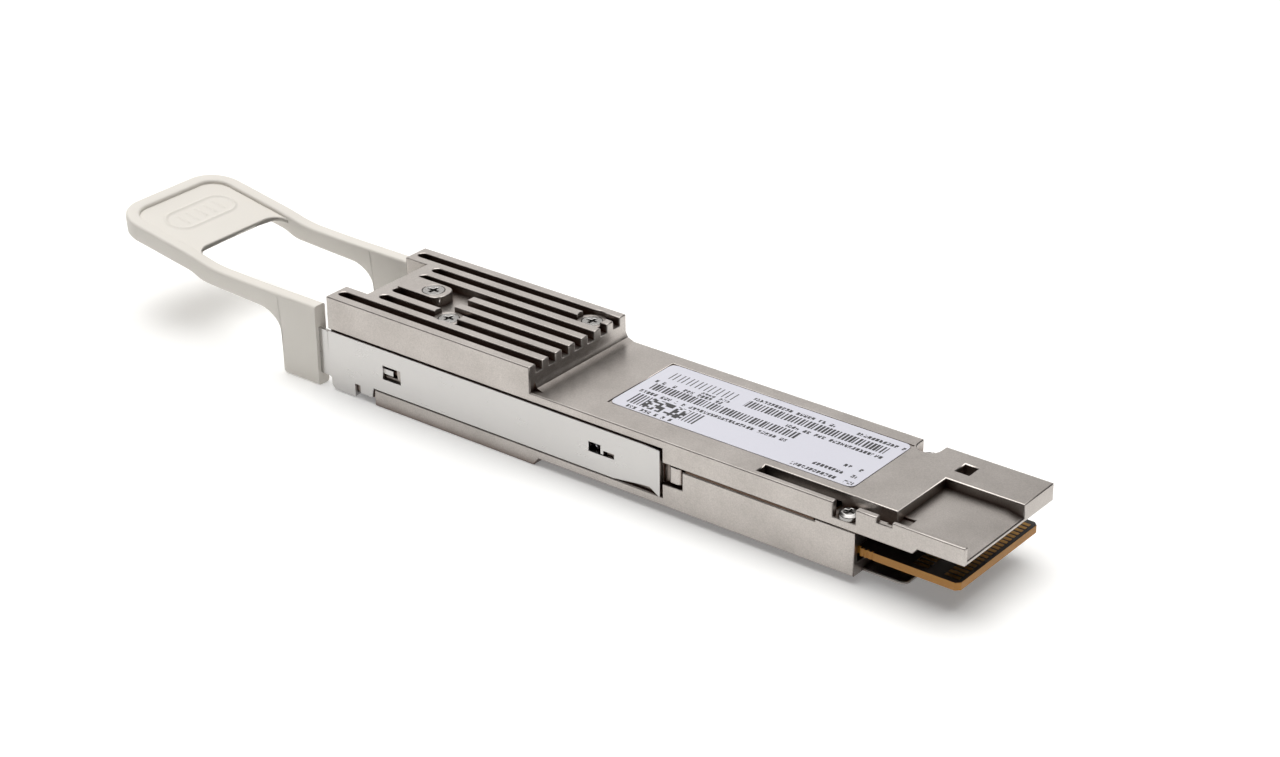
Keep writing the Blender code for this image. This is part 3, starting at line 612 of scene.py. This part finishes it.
def block(name, x, y, z, corner, rim, steps=4):
    """A moulded block: loops of a rounded rectangle, going up. Near both ends of its height they
    lie rim(1 - sin a) from the end and are set in by rim(1 - cos a), as a quarter circle is.
    Sizes are in millimetres; corner is the radius seen from above."""
    a = np.linspace(0.0, math.pi / 2, steps + 1)
    turns = np.concatenate([a + k * math.pi / 2 for k in range(4)])
    centre = np.array([(x[0] + x[1]) / 2, (y[0] + y[1]) / 2])
    half = np.array([(x[1] - x[0]) / 2, (y[1] - y[0]) / 2])
    signs = np.repeat([[1, 1], [-1, 1], [-1, -1], [1, -1]], steps + 1, axis=0)
    loops = []
    for height, inset in zip(
            np.r_[z[0] + rim * (1 - np.sin(a[::-1])), z[1] - rim * (1 - np.sin(a))],
            np.r_[rim * (1 - np.cos(a[::-1])), rim * (1 - np.cos(a))]):
        radius = max(corner - inset, 0.01)
        flat = centre + signs * (half - inset - radius) + radius * np.stack(
            [np.cos(turns), np.sin(turns)], -1)
        loops.append(np.column_stack([flat, np.full(len(flat), height)]))
    return lofted(name, set_out(np.array(loops)))


def box_of(node):
    """A CAD node's limits in millimetres from the datum: (x, y, z), each (low, high)."""
    low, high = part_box(node)
    datum = (STOP_X, 0.0, UNDERSIDE_Z)
    return [((low[k] - datum[k]) / MM, (high[k] - datum[k]) / MM) for k in range(3)]


def printed_film():
    """Satin white polyester with black print. Each bar fills a random share of its 0.47 mm step.
    What stands for text is random strokes in cells of 0.52 mm, with no letters in it."""
    made, tree, shader, place = new_finish("printed_white_polyester_film")
    parts = add_node(tree, "ShaderNodeSeparateXYZ", {"Vector": place})

    def maths(operation, a, b=0.0, c=0.0):
        """One sum or comparison of up to three values."""
        return add_node(tree, "ShaderNodeMath", {0: a, 1: b, 2: c}, operation=operation).outputs[0]

    x = maths("MULTIPLY_ADD", parts.outputs["X"], 1 / MM, -STOP_X / MM)
    y = maths("MULTIPLY", parts.outputs["Y"], 1 / MM)

    def within(value, low, high):
        """1 where a value lies between two limits, else 0."""
        return maths("MULTIPLY", maths("GREATER_THAN", value, low),
                     maths("LESS_THAN", value, high))

    def field(x_low, x_high, y_low, y_high):
        """1 inside a rectangle of the label, else 0."""
        return maths("MULTIPLY", within(x, x_low, x_high), within(y, y_low, y_high))

    def chance(step_x, step_y, seed):
        """A random number from 0 to 1 for each cell of a grid, with its steps in millimetres."""
        key = add_node(tree, "ShaderNodeCombineXYZ", {
            "X": maths("FLOOR", maths("DIVIDE", x, step_x)),
            "Y": maths("FLOOR", maths("DIVIDE", y, step_y)), "Z": seed})
        return add_node(tree, "ShaderNodeTexWhiteNoise", {"Vector": key.outputs["Vector"]},
                        noise_dimensions="3D").outputs["Value"]

    def into(step):
        """How far along its cell a point is, from 0 to 1."""
        return maths("FRACT", maths("DIVIDE", x, step))

    bars = maths("LESS_THAN", into(0.47), maths("MULTIPLY_ADD", chance(0.47, 100.0, 3.0),
                                                0.42, 0.34))
    squares = maths("LESS_THAN", chance(0.36, 0.36, 5.0), 0.52)
    strokes = maths("LESS_THAN", chance(0.17, 0.22, 9.0), 0.8)
    spaced = maths("MULTIPLY", maths("LESS_THAN", into(0.52), 0.76),
                   maths("LESS_THAN", chance(0.52, 100.0, 11.0), 0.86))
    text = maths("MULTIPLY", strokes, spaced)
    wordmark = maths("MULTIPLY", maths("LESS_THAN", maths("PINGPONG", into(1.3), 0.5), 0.34),
                     maths("GREATER_THAN", maths("PINGPONG", into(1.3), 0.5), 0.22))
    ink = None
    for pattern, limits in (
            (bars, (21.9, 41.5, 3.4, 5.0)), (bars, (10.4, 31.5, 0.3, 1.9)),
            (bars, (10.2, 12.4, -3.9, -1.3)), (bars, (18.0, 20.1, -3.9, -1.3)),
            (squares, (12.4, 18.0, -3.9, -1.3)), (wordmark, (10.4, 20.2, 3.7, 5.5)),
            (text, (22.0, 33.6, 5.35, 6.0)), (text, (36.5, 43.0, 5.45, 6.1)),
            (text, (15.6, 20.2, 2.95, 3.4)), (text, (9.9, 19.6, 2.1, 2.75)),
            (text, (28.8, 42.5, 2.2, 2.85)), (text, (9.9, 31.0, -0.95, -0.3)),
            (text, (11.0, 17.6, -4.95, -4.3)), (text, (39.5, 42.1, -1.65, -1.0)),
            (text, (36.4, 42.3, -3.3, -2.65)), (text, (34.4, 42.8, -4.8, -4.15))):
        printed = maths("MULTIPLY", pattern, field(*limits))
        ink = printed if ink is None else maths("MAXIMUM", ink, printed)
    tooth = add_node(tree, "ShaderNodeTexNoise", {
        "Vector": place, "Scale": 1000 / 0.12, "Detail": 2.0})
    faded = maths("MULTIPLY", ink, maths("MULTIPLY_ADD", tooth.outputs["Fac"], 0.12, 0.92))
    tone = add_node(tree, "ShaderNodeMix", {
        "Factor": faded, "A": linear("#d2d2dc"), "B": linear("#141216")}, data_type="RGBA")
    tree.links.new(tone.outputs["Result"], shader.inputs["Base Color"])
    shader.inputs["Roughness"].default_value = 0.42
    skin = add_node(tree, "ShaderNodeBump", {
        "Height": tooth.outputs["Fac"], "Strength": 0.08, "Distance": 0.01 * MM})
    tree.links.new(skin.outputs["Normal"], shader.inputs["Normal"])
    return made


label = new_piece("top_label_film", [block("film", *box_of("top_label"), 0.9, 0.02, 5)], "housing")
dress(label, printed_film())
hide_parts("top_label")


# ---------------------------------------------------------------- paddle card
# A layered glass-epoxy board, routed to shape: brown-black solder mask, honey-coloured cut
# edges, three plated half holes each side, and two rows of nineteen gold contacts each face.

def masked_board():
    """Dark solder mask over copper on the faces; bare woven glass and epoxy on the cut edges."""
    made, tree, shader, place = new_finish("solder_masked_glass_epoxy")
    facing = add_node(tree, "ShaderNodeNewGeometry").outputs["Normal"]
    up = add_node(tree, "ShaderNodeSeparateXYZ", {"Vector": facing}).outputs["Z"]
    flat = add_node(tree, "ShaderNodeMath", {0: up}, operation="ABSOLUTE").outputs[0]
    on_face = add_node(tree, "ShaderNodeMath", {0: flat, 1: 0.7}, operation="GREATER_THAN")
    level = add_node(tree, "ShaderNodeSeparateXYZ", {"Vector": place}).outputs["Z"]
    layers = add_node(tree, "ShaderNodeMath", {0: level, 1: 2 * math.pi / (0.14 * MM)},
                      operation="MULTIPLY")
    banding = add_node(tree, "ShaderNodeMath", {0: layers.outputs[0]}, operation="SINE")
    glass = add_node(tree, "ShaderNodeTexNoise", {
        "Vector": place, "Scale": 1000 / 0.3, "Detail": 3.0})
    edge_tone = add_node(tree, "ShaderNodeMapRange", {
        "Value": banding.outputs[0], "From Min": -1.0, "To Min": 0.25, "To Max": 0.75})
    edge = add_node(tree, "ShaderNodeMix", {
        "Factor": edge_tone.outputs["Result"], "A": linear("#96601f"), "B": linear("#c48c34")},
        data_type="RGBA")
    mask = add_node(tree, "ShaderNodeMix", {
        "Factor": glass.outputs["Fac"], "A": linear("#140d09"), "B": linear("#21160f")},
        data_type="RGBA")
    tone = add_node(tree, "ShaderNodeMix", {
        "Factor": on_face.outputs[0], "A": edge.outputs["Result"], "B": mask.outputs["Result"]},
        data_type="RGBA")
    tree.links.new(tone.outputs["Result"], shader.inputs["Base Color"])
    shader.inputs["Roughness"].default_value = 0.5
    weave = add_node(tree, "ShaderNodeBump", {
        "Height": glass.outputs["Fac"], "Strength": 0.12, "Distance": 0.02 * MM})
    tree.links.new(weave.outputs["Normal"], shader.inputs["Normal"])
    return made


def worn_gold():
    """Hard gold over nickel and copper: a warm metal, dulled in places by wipe marks."""
    made, tree, shader, place = new_finish("hard_gold_plate")
    wipe = add_node(tree, "ShaderNodeTexNoise", {
        "Vector": place, "Scale": 1000 / 0.5, "Detail": 3.0})
    tone = add_node(tree, "ShaderNodeMix", {
        "Factor": wipe.outputs["Fac"], "A": linear("#8a6430"), "B": linear("#b58c4c")},
        data_type="RGBA")
    tree.links.new(tone.outputs["Result"], shader.inputs["Base Color"])
    gloss = add_node(tree, "ShaderNodeMapRange", {
        "Value": wipe.outputs["Fac"], "To Min": 0.22, "To Max": 0.4})
    tree.links.new(gloss.outputs["Result"], shader.inputs["Roughness"])
    shader.inputs["Metallic"].default_value = 1.0
    return made


board = masked_board()
gold = worn_gold()
card = softened("paddle_card", "paddle_card_board", 0.04)
dress(card, board)
CARD_FACES = box_of("paddle_card")[2]
PAD_PITCH, PAD_WIDE, PAD_THICK = 0.8, 0.52, 0.03
pads = []
for start, length in ((52.9, 1.9), (56.9, 1.9)):
    for number in range(19):
        y = (number - 9) * PAD_PITCH
        for z in ((CARD_FACES[0] - PAD_THICK, CARD_FACES[0] + 0.01),
                  (CARD_FACES[1] - 0.01, CARD_FACES[1] + PAD_THICK)):
            pads.append(block("pad", (start, start + length), (y - PAD_WIDE / 2, y + PAD_WIDE / 2),
                              z, 0.06, 0.005, 1))
for side in (-1, 1):
    for x in (46.9, 47.5, 48.1):
        y = sorted((side * 8.02, side * 8.15))
        pads.append(block("pad", (x - 0.16, x + 0.16), y,
                          (CARD_FACES[0] - PAD_THICK, CARD_FACES[1] + PAD_THICK), 0.03, 0.01, 1))
contacts = new_piece("card_contacts", pads, "housing")
dress(contacts, gold)


# ---------------------------------------------------------------- parts on the card
# Moulded resin packages, ferrite inductors and ceramic capacitors, soldered to the card inside
# the shells, with soft gap pads that carry their heat to the castings.

def plain_finish(name, dark, light, grain, roughness, metallic=0.0, bump=0.2):
    """A finish whose tone and sheen drift between two colours by noise of a grain size in mm."""
    made, tree, shader, place = new_finish(name)
    noise = add_node(tree, "ShaderNodeTexNoise", {
        "Vector": place, "Scale": 1000 / grain, "Detail": 4.0, "Roughness": 0.6})
    tone = add_node(tree, "ShaderNodeMix", {
        "Factor": noise.outputs["Fac"], "A": linear(dark), "B": linear(light)}, data_type="RGBA")
    tree.links.new(tone.outputs["Result"], shader.inputs["Base Color"])
    sheen = add_node(tree, "ShaderNodeMapRange", {
        "Value": noise.outputs["Fac"], "To Min": roughness - 0.07, "To Max": roughness + 0.07})
    tree.links.new(sheen.outputs["Result"], shader.inputs["Roughness"])
    skin = add_node(tree, "ShaderNodeBump", {
        "Height": noise.outputs["Fac"], "Strength": bump, "Distance": 0.02 * MM})
    tree.links.new(skin.outputs["Normal"], shader.inputs["Normal"])
    shader.inputs["Metallic"].default_value = metallic
    return made


resin = plain_finish("black_epoxy_mould_compound", "#141416", "#222226", 0.15, 0.55)
ferrite = plain_finish("grey_moulded_ferrite", "#3d3d40", "#56565a", 0.2, 0.6)
ceramic = plain_finish("tan_barium_titanate_ceramic", "#8c6f4d", "#a5865f", 0.2, 0.45)
gold_can = plain_finish("gold_plated_package", "#c79a4e", "#ecc985", 0.8, 0.3, 1.0, 0.08)
gap_pad = plain_finish("silicone_gap_pad", "#7b8799", "#93a0b3", 0.3, 0.8)
BLOCKS = (
    ("signal_processor", resin, "chip_resin", 0.15, 0.12),
    ("microcontroller", resin, "chip_resin", 0.08, 0.08),
    ("power_regulator", resin, "chip_resin", 0.08, 0.08),
    ("modulator_driver", resin, "chip_resin", 0.08, 0.08),
    ("clock_oscillator", gold_can, "gold_can", 0.3, 0.08),
    ("coherent_optics_assembly", gold_can, "gold_can", 0.6, 0.15),
    ("tunable_laser", gold_can, "gold_can", 0.5, 0.15),
    ("processor_thermal_pad", gap_pad, "gap_pad", 0.3, 0.1),
    ("optics_thermal_pad", gap_pad, "gap_pad", 0.3, 0.1),
    ("laser_thermal_pad", gap_pad, "gap_pad", 0.3, 0.1),
    *((f"power_inductor_{n}", ferrite, "ferrite", 0.3, 0.12) for n in (1, 2, 3)),
    *((f"bulk_capacitor_{n}", ceramic, "capacitor_ceramic", 0.1, 0.08) for n in (1, 2, 3, 4)),
)
for node, finish, slot, corner, rim in BLOCKS:
    part = new_piece(node + "_body", [block(node, *box_of(node), corner, rim)], "housing")
    dress(part, finish)
    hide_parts(node)

amber = plain_finish("amber_polyimide_film", "#8a4f16", "#b87527", 0.6, 0.35)
dress(frame["nodes"]["flex_circuit"], amber)


# ---------------------------------------------------------------- fibre receptacle and fibres
# A black moulded double receptacle for two LC plugs behind the nose, with white ceramic sleeves
# for the ferrules, and thin jacketed fibres to the optics and the laser.

port_plastic = plain_finish("black_moulded_port_plastic", "#121214", "#1d1d20", 0.2, 0.45)
receptacle = softened("fibre_receptacle", "fibre_receptacle_moulding", 0.12)
dress(receptacle, port_plastic)
zirconia = plain_finish("ground_white_zirconia", "#e2e0da", "#f0eee9", 0.1, 0.25, 0.0, 0.05)
jacket = plain_finish("yellow_fibre_jacket", "#c9a53a", "#dcbc55", 0.5, 0.45, 0.0, 0.1)
for side in ("transmit", "receive"):
    sleeve = softened(side + "_ferrule_sleeve", side + "_ferrule", 0.06)
    dress(sleeve, zirconia)
for node in ("transmit_fibre", "receive_fibre", "laser_fibre"):
    dress(frame["nodes"][node], jacket)


# ---------------------------------------------------------------- return springs
# Coiled music wire, one in a channel each side. In the module the front end stays in the housing
# and the rear end moves with the slider, so that a pull on the tab shortens the coil; here each
# coil is one fixed piece that rides on no body.

def coil(side, turns=8, wire=0.14, radius=0.5, start=-0.75, length=10.85):
    """A helix round an axis along X: centre line (x, r cos a, r sin a), with circles of the wire's
    radius square to it, from the line's unit tangent and two unit vectors across it."""
    a = np.linspace(0.0, 2 * math.pi * turns, turns * 20 + 1)
    line = np.stack([start + length * a / a[-1], side * 7.9 + radius * np.cos(a),
                     4.3 + radius * np.sin(a)], -1)
    run = np.gradient(line, axis=0)
    run /= np.linalg.norm(run, axis=1, keepdims=True)
    out = np.stack([np.zeros_like(a), np.cos(a), np.sin(a)], -1)
    over = np.cross(run, out)
    over /= np.linalg.norm(over, axis=1, keepdims=True)
    b = np.linspace(0.0, 2 * math.pi, 9)[:-1]
    rings = line[:, None] + wire * (np.cos(b)[:, None] * out[:, None] + np.sin(b)[:, None] *
                                    over[:, None])
    return lofted("coil", set_out(rings))


spring_wire = plain_finish("drawn_music_wire", "#8f8f94", "#b9b9bd", 0.3, 0.3, 1.0, 0.05)
for side, node in ((-1, "near_return_spring"), (1, "far_return_spring")):
    spring = new_piece(node + "_coil", [coil(side)], None)
    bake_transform(spring)
    dress(spring, spring_wire)
    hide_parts(node)


# ---------------------------------------------------------------- gaskets
# Strips of silver-filled silicone in a seat along the joint of the shells, against radio leaks.

gasket = plain_finish("conductive_silicone_strip", "#5d4634", "#806450", 0.2, 0.7)
for node in ("near_gasket", "far_gasket"):
    strip = new_piece(node + "_strip", [block(node, *box_of(node), 0.05, 0.06)], "housing")
    dress(strip, gasket)
    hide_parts(node)
